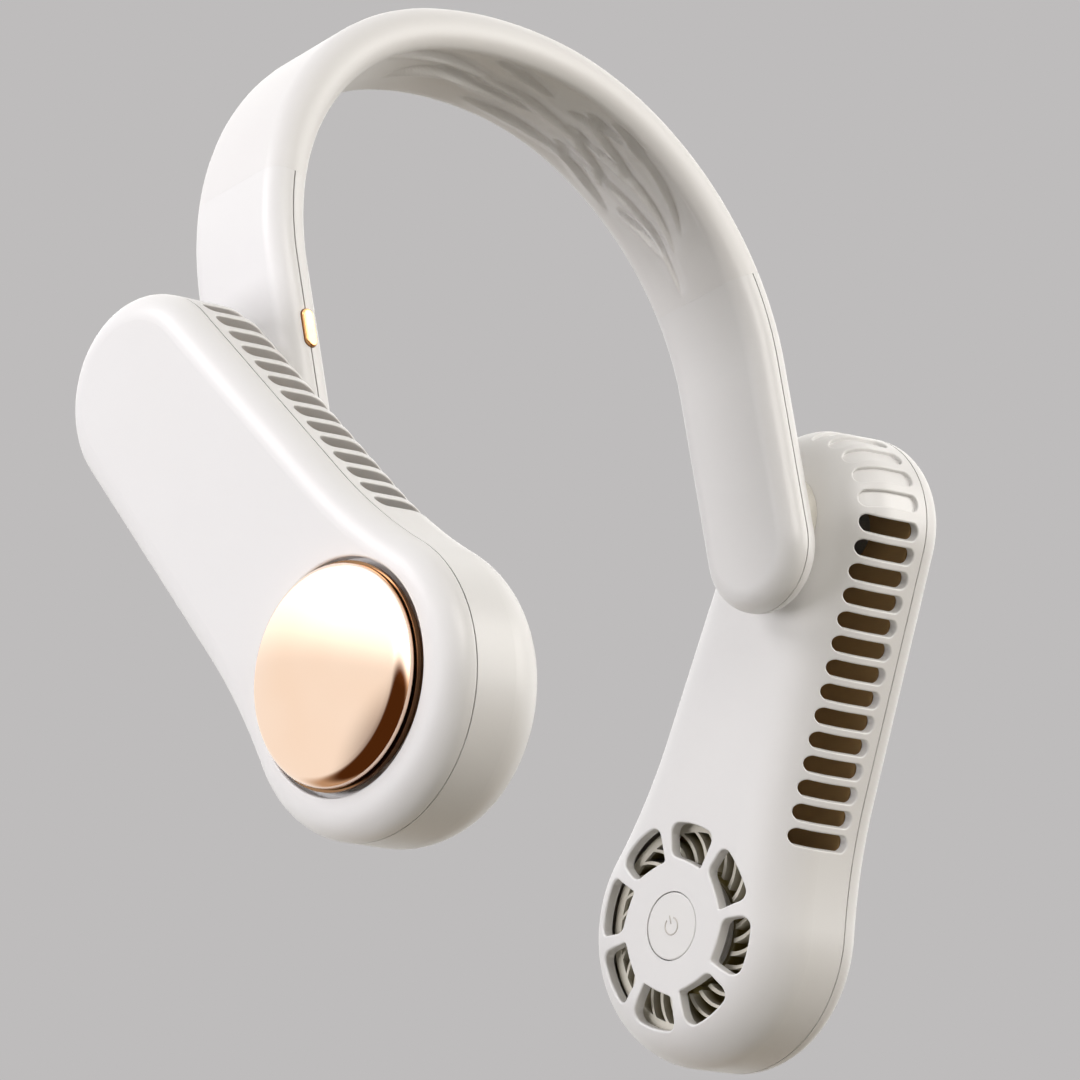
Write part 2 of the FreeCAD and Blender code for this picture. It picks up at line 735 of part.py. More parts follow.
def plate_screws():
    high = -plate_top
    screws = []
    for y, z in plate_boss_places():
        shank = rod(plate_screw_radius, plate_low - plate_screw_bite, high, y, z)
        screws.append(shank.fuse(rod(plate_screw_head_radius, high, high + plate_screw_head_height, y, z)))
    return Part.makeCompound(screws)


def control_board():
    low = board_lift - plate_top
    high = low + board_thickness
    board = fan_tube(board_radius, board_hole_radius, low, high)
    chips = []
    for side in (-1, 1):
        chip = Part.makeBox(chip_height, chip_side, chip_side)
        chip.translate(V(high, side * board_radius / 2 - chip_side / 2, -fan_offset - chip_side / 2))
        chips.append(chip)
    return board.multiFuse(chips)


def battery():
    cell = Part.makeBox(battery_thickness, battery_width, battery_length)
    cell.translate(V(-plate_top, -battery_width / 2, -battery_top - battery_length))
    return cell.makeFillet(battery_edge_radius, cell.Edges)


def cup_open():
    return plate_low - cup_clearance


def cup_closed():
    return cup_open() - cup_length


def motor_low():
    # Lower end of the motor tube, clear of the bottom of the rotor cup.
    return cup_closed() + cup_wall + shaft_radius


def motor_bearing():
    return fan_tube(bearing_radius, shaft_radius + shaft_gap, motor_low(), -plate_top)


def stator():
    low = motor_low() + shaft_radius
    high = low + stator_length
    core = fan_rod(stator_core_radius, low, high)
    tooth = Part.makeBox(stator_length, stator_tooth_width, stator_radius)
    tooth.translate(V(low, -stator_tooth_width / 2, -fan_offset))
    shoe = Part.makeBox(stator_length, stator_tooth_width + 2 * stator_shoe, stator_shoe)
    shoe.translate(V(low, -stator_tooth_width / 2 - stator_shoe, stator_radius - stator_shoe - fan_offset))
    arm = tooth.fuse(shoe)
    arms = []
    for i in range(stator_teeth):
        copy = arm.copy()
        copy.rotate(V(0, 0, -fan_offset), V(1, 0, 0), 360 / stator_teeth * i)
        arms.append(copy)
    core = core.multiFuse(arms).common(fan_rod(stator_radius, low, high))
    return core.cut(fan_rod(motor_tube_radius + slip_gap, low - overrun, high + overrun))


def rotor_cup():
    cup = fan_rod(cup_radius, cup_closed(), cup_open())
    cup = cup.cut(fan_rod(cup_radius - cup_wall, cup_closed() + cup_wall, cup_open() + overrun))
    return cup.cut(fan_rod(shaft_radius + slip_gap, cup_closed() - overrun, cup_open()))


def fan_shaft():
    return fan_rod(shaft_radius, cup_closed() - hub_cap / 2, -plate_top)


def blade(low, high):
    # A curved blade drawn between two arcs, swept back from root to tip.
    middle_radius = (blade_inner_radius + impeller_radius) / 2
    stations = [(blade_inner_radius, 0), (middle_radius, blade_sweep * blade_middle_share),
                (impeller_radius, blade_sweep)]
    sides = []
    for side in (-1, 1):
        points = []
        for radius, degrees in stations:
            turn = math.radians(degrees) + side * blade_thickness / 2 / radius
            points.append(V(low, radius * math.sin(turn), radius * math.cos(turn) - fan_offset))
        sides.append(points)
    edges = [Part.Arc(*points).toShape() for points in sides]
    edges += joined([sides[0][0], sides[1][0]]) + joined([sides[0][2], sides[1][2]])
    return closed_prism(edges, V(high - low, 0, 0))


def impeller():
    front = duct_floor + impeller_front_gap
    disc_low = plate_low - disc_gap - disc_thickness
    disc_high = plate_low - disc_gap
    hub_radius = cup_radius + slip_gap + hub_wall
    hub_low = cup_closed() - slip_gap - hub_cap
    wheel = fan_rod(impeller_radius, disc_low, disc_high)
    ring_inner = impeller_radius - rim_ring_width
    solids = [fan_rod(hub_radius, hub_low, disc_high),
              fan_tube(impeller_radius, ring_inner, front, front + rim_ring_thickness)]
    one = blade(front, disc_low + disc_thickness / 2)
    for i in range(blade_count):
        copy = one.copy()
        copy.rotate(V(0, 0, -fan_offset), V(1, 0, 0), 360 / blade_count * i)
        solids.append(copy)
    wheel = wheel.multiFuse(solids)
    wheel = wheel.cut(fan_rod(cup_radius + slip_gap, cup_closed() - slip_gap, plate_low))
    return wheel.cut(fan_rod(shaft_radius + slip_gap, cup_closed() - hub_cap / 2 - slip_gap, plate_low))


def button_board_low():
    skirt_top = duct_floor + button_skirt_thickness + button_travel
    return skirt_top + slip_gap + switch_plunger_height + switch_height


def button_hole(shell):
    shell = shell.cut(fan_rod(button_radius, -inner_depth - overrun, duct_floor + overrun))
    posts = []
    for i in range(button_post_count):
        turn = math.radians(360 / button_post_count * i)
        y = button_post_ring * math.sin(turn)
        z = button_post_ring * math.cos(turn) - fan_offset
        posts.append(rod(button_post_radius, duct_floor - face_wall / 2, button_board_low(), y, z))
    return shell.multiFuse(posts)


def power_button():
    top = fan_rod(button_radius - button_gap, -inner_depth, duct_floor + face_gap)
    rim = [e for e in top.Edges
           if abs(e.BoundBox.XMax + inner_depth) < slip_gap and e.BoundBox.YLength > button_radius]
    top = top.makeFillet(button_edge_radius, rim)
    skirt_low = duct_floor + face_gap
    return top.fuse(fan_rod(button_skirt_radius, skirt_low, skirt_low + button_skirt_thickness))


def button_board():
    low = button_board_low()
    board = fan_rod(button_board_radius, low, low + button_board_thickness)
    body = Part.makeBox(switch_height, switch_side, switch_side)
    body.translate(V(low - switch_height, -switch_side / 2, -fan_offset - switch_side / 2))
    plunger = fan_rod(switch_plunger_radius, low - switch_height - switch_plunger_height + face_gap, low)
    return board.multiFuse([body, plunger])


def stadium_bar(length, height, start, stop):
    # A bar along Y with round ends, long along Z and low along X.
    half = length / 2 - height / 2
    bar = Part.makeBox(height, stop - start, 2 * half)
    bar.translate(V(-height / 2, start, -half))
    ends = [Part.makeCylinder(height / 2, stop - start, V(0, start, z), V(0, 1, 0)) for z in (-half, half)]
    return bar.multiFuse(ends).removeSplitter()


def pod_side(drop):
    return pivot_end_radius / math.cos(flare_turn) + drop * math.tan(flare_turn)


def socket_place(shape):
    shape.translate(V(plate_low - socket_height / 2, 0, -socket_drop))
    return shape


def charging_socket():
    mouth = pod_side(socket_drop) - socket_inset
    back = mouth - socket_depth
    shell = stadium_bar(socket_length, socket_height, back, mouth)
    inside = 2 * socket_shell
    hollow = stadium_bar(socket_length - inside, socket_height - inside, back + socket_shell, mouth + overrun)
    tongue = Part.makeBox(socket_tongue, socket_depth - socket_height, socket_length - socket_height)
    tongue.translate(V(-socket_tongue / 2, back, -(socket_length - socket_height) / 2))
    return socket_place(shell.cut(hollow).fuse(tongue))


def socket_hole(shell):
    room = 2 * socket_hole_gap
    far = fan_end_radius + overrun
    cutter = stadium_bar(socket_length + room, socket_height + room, pivot_end_radius / 2, far)
    return shell.cut(socket_place(cutter))


def mode_place(shape):
    shape.translate(V(limb_x, 0, pivot_z + mode_rise))
    return shape


def mode_button():
    # Gold pill with a flange behind the arm's wall.
    front = -band_width / 2 - mode_proud
    pill = stadium_bar(mode_length, mode_width, front, front + mode_depth + mode_proud)
    rim = [e for e in pill.Edges if abs(e.BoundBox.YMax - front) < slip_gap]
    pill = pill.makeFillet(mode_edge_radius, rim)
    back = front + mode_depth + mode_proud
    flange = stadium_bar(mode_length + 2 * mode_flange, mode_width + 2 * mode_flange,
                         back, back + mode_flange_thickness)
    return mode_place(pill.fuse(flange))


def mode_hole():
    room = 2 * mode_gap
    start = -band_width / 2 - overrun
    return mode_place(stadium_bar(mode_length + room, mode_width + room, start, start + 2 * mode_depth))


def mode_switch_board():
    back = -band_width / 2 + mode_depth + mode_flange_thickness + mode_travel + face_gap
    board = Part.makeBox(mode_board_thickness, mode_board_width, mode_board_length)
    floor = arm_wall - half_band + slip_gap
    board.translate(V(floor, back, -mode_board_length / 2))
    switch = Part.makeBox(mode_switch_height, mode_switch_depth, mode_switch_length)
    switch.translate(V(floor + mode_board_thickness, back, -mode_switch_length / 2))
    return mode_place(board.fuse(switch))


def mirrored(shape):
    return shape.mirror(V(0, 0, 0), V(1, 0, 0))


def hang_pod(shape, side):
    # Moves a piece of a pod from its drawing place to its tongue, swung to its rest angle.
    angle = left_rest_angle if side == "left" else right_rest_angle
    placed = shape.copy()
    placed.rotate(V(0, 0, 0), V(1, 0, 0), -angle)
    placed.translate(V(pod_x, 0, pivot_z))
    return mirrored(placed) if side == "left" else placed


def save(name, shape):
    shape.exportStep(os.path.join("parts", name + ".step"))


def save_band():
    save("band_sleeve", band_sleeve())
    save("band_spring", band_spring())
    save("band_ribbon_cable", band_ribbon_cable())
    inner, outer = cut_arm_holes(*arm_halves())
    save("right_arm_inner_shell", inner)
    save("right_arm_outer_shell", outer)
    hole = mode_hole()
    save("left_arm_inner_shell", mirrored(inner.cut(hole)))
    save("left_arm_outer_shell", mirrored(outer.cut(hole)))
    save("mode_button", mirrored(mode_button()))
    save("mode_switch_board", mirrored(mode_switch_board()))
    for name, shape in (("arm_screws", arm_screws()), ("pivot_pin", pivot_pin()),
                        ("pivot_clip", pivot_clip()), ("spring_washer", spring_washer())):
        save("right_" + name, shape)
        save("left_" + name, mirrored(shape))


def save_pods():
    inner = pod_inner_shell()
    pieces = {"pod_outer_shell": pod_outer_shell(), "pivot_bush": pivot_bush(),
              "dome_seat": dome_seat(), "dome_cap": dome_cap(), "duct_plate": duct_plate(),
              "plate_screws": plate_screws(), "control_board": control_board(),
              "battery": battery(), "motor_bearing": motor_bearing(), "stator": stator(),
              "rotor_cup": rotor_cup(), "fan_shaft": fan_shaft(), "impeller": impeller()}
    for side in ("left", "right"):
        for name, shape in pieces.items():
            save(side + "_" + name, hang_pod(shape, side))
    save("left_pod_inner_shell", hang_pod(inner, "left"))
    save("right_pod_inner_shell", hang_pod(socket_hole(button_hole(inner)), "right"))
    save("power_button", hang_pod(power_button(), "right"))
    save("button_board", hang_pod(button_board(), "right"))
    save("charging_socket", hang_pod(charging_socket(), "right"))


os.makedirs("parts", exist_ok=True)
save_band()
save_pods()
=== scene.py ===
import math

import bpy
from mathutils import Matrix, Vector


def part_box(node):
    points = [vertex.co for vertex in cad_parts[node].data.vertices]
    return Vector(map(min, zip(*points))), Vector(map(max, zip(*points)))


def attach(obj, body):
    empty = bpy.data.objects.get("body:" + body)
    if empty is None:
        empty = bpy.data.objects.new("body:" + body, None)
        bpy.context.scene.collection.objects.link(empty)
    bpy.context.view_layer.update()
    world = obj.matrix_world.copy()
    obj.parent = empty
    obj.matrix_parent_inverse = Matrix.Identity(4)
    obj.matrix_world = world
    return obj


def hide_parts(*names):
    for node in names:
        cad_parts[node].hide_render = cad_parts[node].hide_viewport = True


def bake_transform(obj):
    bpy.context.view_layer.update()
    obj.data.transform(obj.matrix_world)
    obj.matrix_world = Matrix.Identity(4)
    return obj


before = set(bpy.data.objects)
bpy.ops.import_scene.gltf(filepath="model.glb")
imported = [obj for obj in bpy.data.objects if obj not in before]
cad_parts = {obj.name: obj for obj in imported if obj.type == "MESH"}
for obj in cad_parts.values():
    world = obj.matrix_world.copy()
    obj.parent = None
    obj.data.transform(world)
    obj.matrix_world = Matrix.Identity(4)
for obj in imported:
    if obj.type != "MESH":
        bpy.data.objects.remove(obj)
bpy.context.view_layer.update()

# Arm shells: the rigid ends of the neck band. Each arm is two injection-moulded ABS shells, parted
# along the middle of the rim and held by two screws. Warm white, with the fine satin that a
# spark-eroded mould leaves.


def linear(code):
    # An sRGB hex colour as linear values.
    parts = [int(code[i:i + 2], 16) / 255 for i in (1, 3, 5)]
    return [p / 12.92 if p <= 0.04045 else ((p + 0.055) / 1.055) ** 2.4 for p in parts] + [1.0]


def add_node(owner, kind, inputs=None, **settings):
    # A node of a material or the world, with its settings, its fixed values and its links.
    node = owner.node_tree.nodes.new(kind)
    for name, value in settings.items():
        setattr(node, name, value)
    for socket, value in (inputs or {}).items():
        if isinstance(value, bpy.types.NodeSocket):
            owner.node_tree.links.new(value, node.inputs[socket])
        else:
            node.inputs[socket].default_value = value
    return node


def new_material(name):
    # An empty material and its surface shader.
    material = bpy.data.materials.new(name)
    material.use_nodes = True
    return material, material.node_tree.nodes["Principled BSDF"]


def join(material, output, shader, socket):
    material.node_tree.links.new(output, shader.inputs[socket])


def per_metre(millimetres):
    # Texture scale for a pattern whose grain is this wide.
    return 1000 / millimetres


def moulded_plastic(name, tone, shade, roughness, grain_mm, grain_depth):
    # Moulded plastic: the colour drifts a little with the flow of the melt, and the mould's grain
    # breaks the highlight up into a soft sheen.
    flow_mm = 38
    sheen_spread = 0.05
    material, shader = new_material(name)
    where = add_node(material, "ShaderNodeTexCoord").outputs["Object"]
    flow = add_node(material, "ShaderNodeTexNoise",
                    {"Vector": where, "Scale": per_metre(flow_mm), "Detail": 2.0, "Roughness": 0.5})
    drift = add_node(material, "ShaderNodeMix",
                     {"Factor": flow.outputs["Fac"], "A": linear(shade), "B": linear(tone)},
                     data_type="RGBA")
    join(material, drift.outputs["Result"], shader, "Base Color")
    grain = add_node(material, "ShaderNodeTexNoise",
                     {"Vector": where, "Scale": per_metre(grain_mm), "Detail": 3.0,
                      "Roughness": 0.6})
    sheen = add_node(material, "ShaderNodeMapRange",
                     {"Value": grain.outputs["Fac"], "From Min": 0.3, "From Max": 0.7,
                      "To Min": roughness - sheen_spread, "To Max": roughness + sheen_spread})
    join(material, sheen.outputs["Result"], shader, "Roughness")
    bump = add_node(material, "ShaderNodeBump",
                    {"Height": grain.outputs["Fac"], "Strength": 0.35, "Distance": grain_depth})
    join(material, bump.outputs["Normal"], shader, "Normal")
    shader.inputs["IOR"].default_value = 1.53
    return material


def dress(material, *names):
    # CAD nodes that keep their shape and take this material.
    for name in names:
        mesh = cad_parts[name].data
        mesh.materials.clear()
        mesh.materials.append(material)


def both(*names):
    # The left and the right node of each name.
    return [side + name for side in ("left_", "right_") for name in names]


white_abs = moulded_plastic("white_abs_satin", "#f3f2f2", "#eeedec", roughness=0.37,
                            grain_mm=0.45, grain_depth=0.00002)
dress(white_abs, *both("arm_inner_shell", "arm_outer_shell"))

# Crown sleeve: the soft middle of the band, moulded in silicone over the spring. Its inner face is
# hollowed along the front bead, and the bending of the band has left long crossing folds in it.
half_band = 0.00445
limb_x = 0.06185
shoulder_radius = 0.0572
shoulder_turn = math.radians(79.7)
crown_radius = 0.0832
crown_turn = math.pi / 2 - shoulder_turn
shoulder_x = limb_x - shoulder_radius
shoulder_z = -0.053169
crown_z = half_band - crown_radius


def deselect():
    bpy.ops.object.select_all(action="DESELECT")


def select_verts(mesh, test):
    # Selects the vertices that pass, for the next edit.
    for polygon in mesh.polygons:
        polygon.select = False
    for edge in mesh.edges:
        edge.select = False
    for vertex in mesh.vertices:
        vertex.select = test(vertex.co)


def edit(*steps):
    # Runs edit-mode operators on what is selected.
    bpy.ops.object.mode_set(mode="EDIT")
    for step in steps:
        step()
    bpy.ops.object.mode_set(mode="OBJECT")


def arch_bar(name, low, high, width, start, steps, corner, inner_cuts=0):
    # A bar along the arch of the band, from low to high above its middle line. Its section stands
    # on the right shoulder, start degrees up, and is spun over the right shoulder, the crown and
    # the left shoulder. The flat of its inner side can be cut finer for relief.
    corner_steps = 8
    merge_gap = 0.000001
    shoulder_steps, crown_steps = steps
    tilt = math.radians(start)
    middle = shoulder_radius + (low + high) / 2
    place = (shoulder_x + middle * math.cos(tilt), 0, shoulder_z + middle * math.sin(tilt))
    deselect()
    bpy.ops.mesh.primitive_plane_add(size=1, location=place, rotation=(0, -tilt, 0))
    bar = bpy.context.object
    bar.name = name
    bar.scale = (high - low, width, 1)
    bpy.ops.object.transform_apply(location=True, rotation=True, scale=True)
    edit(lambda: bpy.ops.mesh.bevel(offset=corner, segments=corner_steps, affect="VERTICES"))
    if inner_cuts:
        def ends_inner_flat(co):
            reach = math.hypot(co.x - shoulder_x, co.z - shoulder_z) - shoulder_radius
            return reach < low + (high - low) / 1000 and abs(co.y) > width / 2 - corner * 1.01

        select_verts(bar.data, ends_inner_flat)
        edit(lambda: bpy.ops.mesh.select_mode(type="VERT"),
             lambda: bpy.ops.mesh.subdivide(number_cuts=inner_cuts))
    shoulder_arc = shoulder_turn - tilt
    crown_arc = math.pi - 2 * shoulder_turn
    bpy.ops.object.mode_set(mode="EDIT")
    bpy.ops.mesh.select_all(action="SELECT")
    for x, z, arc, count in ((shoulder_x, shoulder_z, shoulder_arc, shoulder_steps),
                             (0, crown_z, crown_arc, crown_steps),
                             (-shoulder_x, shoulder_z, shoulder_arc, shoulder_steps)):
        bpy.ops.mesh.spin(steps=count, angle=arc, center=(x, 0, z), axis=(0, 1, 0))
    bpy.ops.mesh.select_all(action="SELECT")
    bpy.ops.mesh.remove_doubles(threshold=merge_gap)
    bpy.ops.mesh.select_all(action="DESELECT")
    bpy.ops.mesh.select_non_manifold()
    bpy.ops.mesh.edge_face_add()
    bpy.ops.mesh.select_all(action="SELECT")
    bpy.ops.mesh.normals_make_consistent(inside=False)
    bpy.ops.object.mode_set(mode="OBJECT")
    bpy.ops.object.shade_smooth_by_angle(angle=math.radians(50))
    return bar


def along_arch(co):
    # Length along the band's middle line from the crown, to the right, and height above it.
    lean = math.atan2(co.x, co.z - crown_z)
    if abs(lean) < crown_turn:
        return crown_radius * lean, math.hypot(co.x, co.z - crown_z) - crown_radius
    side = 1 if co.x > 0 else -1
    out = abs(co.x) - shoulder_x
    up = co.z - shoulder_z
    length = crown_radius * crown_turn
    length += shoulder_radius * (shoulder_turn - math.atan2(up, out))
    return side * length, math.hypot(out, up) - shoulder_radius


def rise_over(value, start, stop):
    # A smooth step from 0 to 1.
    share = min(max((value - start) / (stop - start), 0), 1)
    return share * share * (3 - 2 * share)


# Each fold: where it starts, passes and ends, as millimetres along the arch and across the band.
# The sizes of its lip and its hollow are millimetres too.
folds = [((4.0, -6.8), (12.8, -4.9), (22.0, -3.8)), ((-18.0, 2.6), (-6.0, 0.4), (6.0, 1.2)),
         ((-24.0, -5.2), (-10.0, -4.2), (8.0, -1.0)), ((-8.0, -1.6), (8.0, 1.9), (22.0, 1.6)),
         ((4.0, -1.2), (20.0, 0.2), (37.0, 1.6)), ((6.0, 6.3), (20.0, 6.8), (37.0, 5.7)),
         ((31.0, 5.2), (41.0, 7.0), (51.0, 7.6)), ((31.0, 6.6), (48.0, 3.2), (74.0, 2.6)),
         ((30.0, 0.2), (38.0, 2.4), (46.0, 4.6)), ((31.0, 2.2), (46.0, -0.9), (66.0, -0.2)),
         ((27.0, -2.8), (34.0, -4.1), (41.0, -5.6)), ((30.0, -5.0), (39.0, -2.3), (48.0, -0.5)),
         ((35.0, -7.4), (40.0, -6.9), (46.0, -6.2)), ((40.0, -6.8), (52.0, -5.9), (63.0, -3.4)),
         ((52.0, 5.8), (58.0, 4.1), (65.0, 2.6))]
lip_height = 0.75
lip_width = 1.9
lip_roll = 0.3
crease_depth = 1.2
crease_roll = 0.4
crease_width = 3.2
fold_margin = (8.6, 10.6)
valley_depth = 1.3
valley_ends = (58, 75)
valley_wall = (-9.6, -8.2)
valley_slope = (-7.8, 4.0)


def fold_height(along, across):
    # Each fold is a lip that rolls over into a crease and fades out at both ends.
    height = 0.0
    for (a0, b0), (a1, b1), (a2, b2) in folds:
        if a0 < along < a2:
            run = (along - a0) * (along - a2) / ((a1 - a0) * (a1 - a2)) * b1
            run += (along - a1) * (along - a2) / ((a0 - a1) * (a0 - a2)) * b0
            run += (along - a0) * (along - a1) / ((a2 - a0) * (a2 - a1)) * b2
            off = run - across
            fade = math.sin(math.pi * (along - a0) / (a2 - a0)) ** 0.6
            lip = rise_over(off, -lip_width, 0.0) * (1 - rise_over(off, 0.0, lip_roll))
            crease = rise_over(off, 0.0, crease_roll)
            crease *= 1 - rise_over(off, crease_roll, crease_width)
            height += fade * (lip_height * lip - crease_depth * crease)
    return height


def hollow_depth(along, across):
    # The valley beside the front bead, steep at the bead and shallow towards the middle.
    depth = valley_depth * (1 - rise_over(abs(along), *valley_ends))
    return depth * rise_over(across, *valley_wall) * (1 - rise_over(across, *valley_slope))


def bend_with_band(piece, node):
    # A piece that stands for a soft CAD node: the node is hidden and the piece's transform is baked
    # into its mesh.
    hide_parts(node)
    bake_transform(piece)


sleeve = arch_bar("crown_sleeve", low=-half_band, high=half_band, width=0.0248, start=18.02,
                  steps=(90, 36), corner=0.0041, inner_cuts=92)
inner_skin = 0.0005
for vertex in sleeve.data.vertices:
    along, above = along_arch(vertex.co)
    if above < inner_skin - half_band:
        along_mm = along * 1000
        across_mm = vertex.co.y * 1000
        margin = 1 - rise_over(abs(across_mm), *fold_margin)
        lift = margin * fold_height(along_mm, across_mm) - hollow_depth(along_mm, across_mm)
        lean = min(max(along / crown_radius, -crown_turn), crown_turn)
        lean += (along - lean * crown_radius) / shoulder_radius
        vertex.co -= Vector((math.sin(lean), 0, math.cos(lean))) * lift / 1000
silicone = moulded_plastic("white_silicone_satin", "#f2f1f0", "#edebea", roughness=0.42,
                           grain_mm=0.5, grain_depth=0.00002)
sleeve.data.materials.append(silicone)
bend_with_band(sleeve, "band_sleeve")

# Spring and flat cable: inside the sleeve, a strip of rolled spring steel lets the band open and
# close, and a flat cable above it joins the two pods. Both are pushed into the arms at each end.


def lined_metal(name, tone, shade, roughness, grain_mm):
    # Turned or rolled metal: fine tool lines, as large along each axis of the object as grain_mm
    # says, shade it and break its highlight into streaks. Drawn coarse to show.
    sheen_spread = 0.08
    line_depth = 0.00002
    material, shader = new_material(name)
    where = add_node(material, "ShaderNodeTexCoord").outputs["Object"]
    drawn = add_node(material, "ShaderNodeMapping",
                     {"Vector": where, "Scale": [per_metre(length) for length in grain_mm]})
    lines = add_node(material, "ShaderNodeTexNoise",
                     {"Vector": drawn.outputs["Vector"], "Scale": 1.0, "Detail": 4.0,
                      "Roughness": 0.65})
    streaks = add_node(material, "ShaderNodeMix",
                       {"Factor": lines.outputs["Fac"], "A": linear(shade), "B": linear(tone)},
                       data_type="RGBA")
    join(material, streaks.outputs["Result"], shader, "Base Color")
    sheen = add_node(material, "ShaderNodeMapRange",
                     {"Value": lines.outputs["Fac"], "To Min": roughness - sheen_spread,
                      "To Max": roughness + sheen_spread})
    join(material, sheen.outputs["Result"], shader, "Roughness")
    bump = add_node(material, "ShaderNodeBump",
                    {"Height": lines.outputs["Fac"], "Strength": 0.3, "Distance": line_depth})
    join(material, bump.outputs["Normal"], shader, "Normal")
    shader.inputs["Metallic"].default_value = 1.0
    return material


rolled_steel = lined_metal("rolled_spring_steel", "#a3a3a6", "#8a8a8e", roughness=0.32,
                           grain_mm=(12, 0.12, 12))
spring = arch_bar("band_spring_strip", low=-0.0003, high=0.0003, width=0.011, start=8.99,
                  steps=(36, 14), corner=0.0001)
spring.data.materials.append(rolled_steel)
bend_with_band(spring, "band_spring")

# The flat cable's copper conductors lie side by side under a clear film and show as stripes. A wave
# of scale 1 repeats every pi / 10 metres.
flat_cable = arch_bar("band_flat_cable", low=0.0007, high=0.001, width=0.009, start=4.98,
                      steps=(36, 14), corner=0.00005)
conductor_mm = 1.0
film, film_shader = new_material("flat_cable_film")
film_where = add_node(film, "ShaderNodeTexCoord").outputs["Object"]
stripes = add_node(film, "ShaderNodeTexWave",
                   {"Vector": film_where, "Scale": math.pi * per_metre(conductor_mm) / 10},
                   bands_direction="Y")
copper = add_node(film, "ShaderNodeMix",
                  {"Factor": stripes.outputs["Fac"], "A": linear("#e2dccb"),
                   "B": linear("#b98a5c")}, data_type="RGBA")
join(film, copper.outputs["Result"], film_shader, "Base Color")
film_bump = add_node(film, "ShaderNodeBump",
                     {"Height": stripes.outputs["Fac"], "Strength": 0.4, "Distance": 0.00003})
join(film, film_bump.outputs["Normal"], film_shader, "Normal")
film_shader.inputs["Roughness"].default_value = 0.28
flat_cable.data.materials.append(film)
bend_with_band(flat_cable, "band_ribbon_cable")

# Pivots and screws: a hollow turned pin in each arm carries the pod's acetal bush, held by a wave
# washer and a sprung clip. The screws are plated steel, as are the fan's shaft and its motor's cup.
turned_steel = lined_metal("turned_plated_steel", "#bcbcbe", "#9c9ca0", roughness=0.26,
                           grain_mm=(0.12, 6, 6))
dress(turned_steel, *both("pivot_pin", "arm_screws", "plate_screws", "fan_shaft", "rotor_cup"))
dress(rolled_steel, *both("spring_washer", "pivot_clip"))
acetal = moulded_plastic("natural_acetal", "#ebe8e0", "#e3dfd5", roughness=0.3,
                         grain_mm=0.3, grain_depth=0.00001)
dress(acetal, *both("pivot_bush"))

# Mode button: a small pill in the rim of the left arm, vacuum plated in deep gold over ABS. It
# slides in a slot across the parting line and presses on a side switch.


def plated(name, tone, shade, roughness):
    # Vacuum plating: a mirror, with the long soft ripple of the moulded part under it and a faint
    # haze from polishing.
    ripple_mm = 14
    ripple_depth = 0.00004
    haze_mm = 0.8
    haze_spread = 0.3
    material, shader = new_material(name)
    where = add_node(material, "ShaderNodeTexCoord").outputs["Object"]
    ripple = add_node(material, "ShaderNodeTexNoise",
                      {"Vector": where, "Scale": per_metre(ripple_mm), "Detail": 1.0,
                       "Roughness": 0.4})
    drift = add_node(material, "ShaderNodeMix",
                     {"Factor": ripple.outputs["Fac"], "A": linear(shade), "B": linear(tone)},
                     data_type="RGBA")
    join(material, drift.outputs["Result"], shader, "Base Color")
    haze = add_node(material, "ShaderNodeTexNoise",
                    {"Vector": where, "Scale": per_metre(haze_mm), "Detail": 4.0, "Roughness": 0.6})
    sheen = add_node(material, "ShaderNodeMapRange",
                     {"Value": haze.outputs["Fac"], "From Min": 0.3, "From Max": 0.7,
                      "To Min": roughness * (1 - haze_spread),
                      "To Max": roughness * (1 + haze_spread)})
    join(material, sheen.outputs["Result"], shader, "Roughness")
    bump = add_node(material, "ShaderNodeBump",
                    {"Height": ripple.outputs["Fac"], "Strength": 0.25, "Distance": ripple_depth})
    join(material, bump.outputs["Normal"], shader, "Normal")
    shader.inputs["Metallic"].default_value = 1.0
    return material


pill_gold = plated("deep_gold_plating", "#d8a878", "#c7935f", roughness=0.16)
dress(pill_gold, "mode_button")

# Boards: fibreglass laminate, one behind the mode button and a round one behind each dome. Their
# coat of green solder resist shows the copper tracks under it as raised lines. A brick pattern of
# scale 1 has its rows a quarter of a metre apart.
track_mm = 2.5
resist, resist_shader = new_material("green_solder_resist")
resist_where = add_node(resist, "ShaderNodeTexCoord").outputs["Object"]
tracks = add_node(resist, "ShaderNodeTexBrick",
                  {"Vector": resist_where, "Scale": per_metre(track_mm) / 4, "Mortar Size": 0.02,
                   "Color1": linear("#16582f"), "Color2": linear("#1a6437"),
                   "Mortar": linear("#2c8150")})
join(resist, tracks.outputs["Color"], resist_shader, "Base Color")
track_bump = add_node(resist, "ShaderNodeBump",
                      {"Height": tracks.outputs["Fac"], "Strength": 0.4, "Distance": 0.00004})
join(resist, track_bump.outputs["Normal"], resist_shader, "Normal")
resist_shader.inputs["Roughness"].default_value = 0.32
dress(resist, "mode_switch_board", *both("control_board"))

# Pod shells: the two halves of each fan housing, of the same ABS as the arms. The inner half has
# the outlet slots along its side and the ring of intake holes round the hub.
dress(white_abs, *both("pod_inner_shell", "pod_outer_shell"))

# Duct plate: a matt tan ABS floor behind the slots that turns the fan's air up the pod, held by
# four screws. It is what shows through the slots and between the blades.
duct_abs = moulded_plastic("tan_abs_matt", "#c2a070", "#9a7a4e", roughness=0.5,
                           grain_mm=0.6, grain_depth=0.00004)
dress(duct_abs, *both("duct_plate"))

